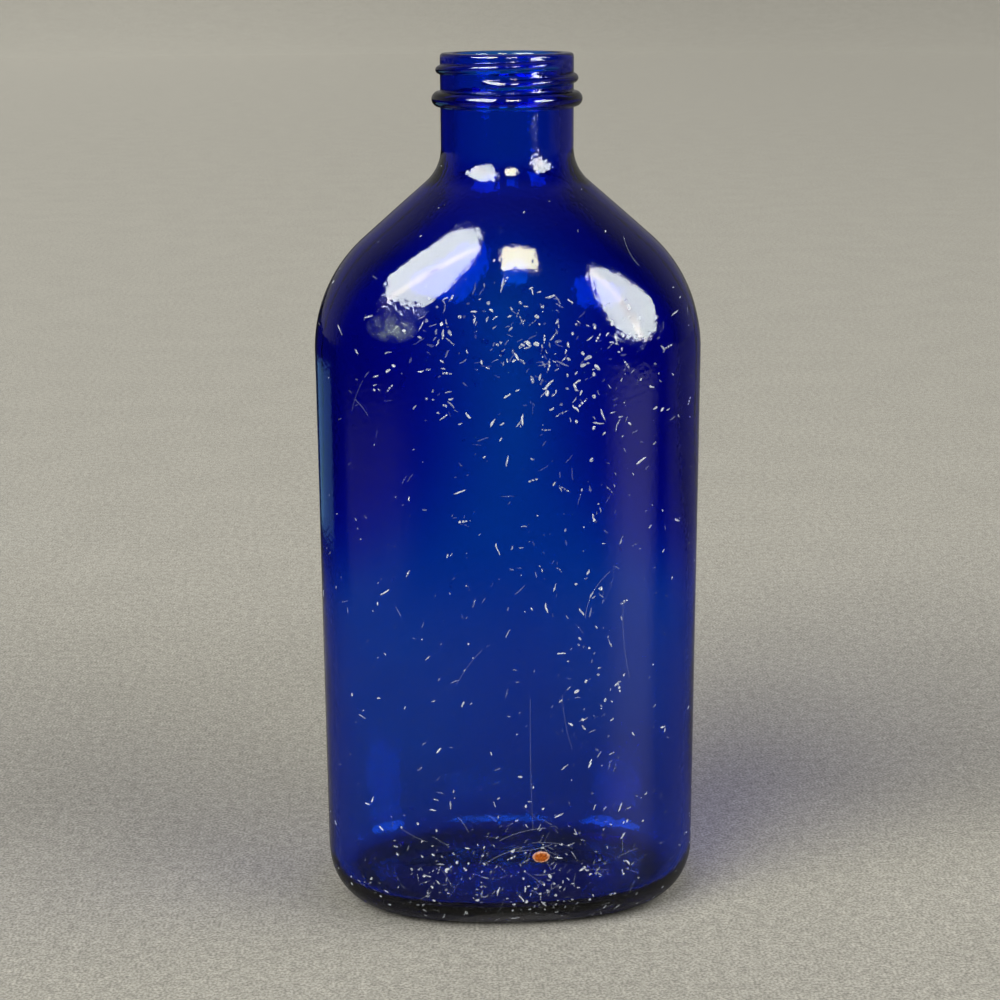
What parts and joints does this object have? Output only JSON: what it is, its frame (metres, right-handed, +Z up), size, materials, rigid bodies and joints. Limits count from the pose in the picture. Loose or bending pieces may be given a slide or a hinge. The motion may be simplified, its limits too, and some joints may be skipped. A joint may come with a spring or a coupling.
{
  "type": "apothecary bottle",
  "caption": "Hollow flat-oval apothecary bottle of cobalt blue glass: round heel, sloping shoulder, short neck with bead and open screw finish, for liquids.",
  "frame": {"origin": "under the middle of the base, on the plane that the bottle stands on", "axes": "+Z up along the neck, +X to the right across the broad front, -Y out of the broad front that carries the fleck"},
  "size_m": [0.1036, 0.0627, 0.2354],
  "materials": {
    "cobalt_glass": "clear deep blue moulded glass, polished, with fine scuffs on the broad faces and round the base",
    "rust": "matt orange rust scale"
  },
  "bodies": {
    "root": {"glass_bottle": "cobalt_glass", "rust_fleck": "rust"}
  },
  "joints": []
}
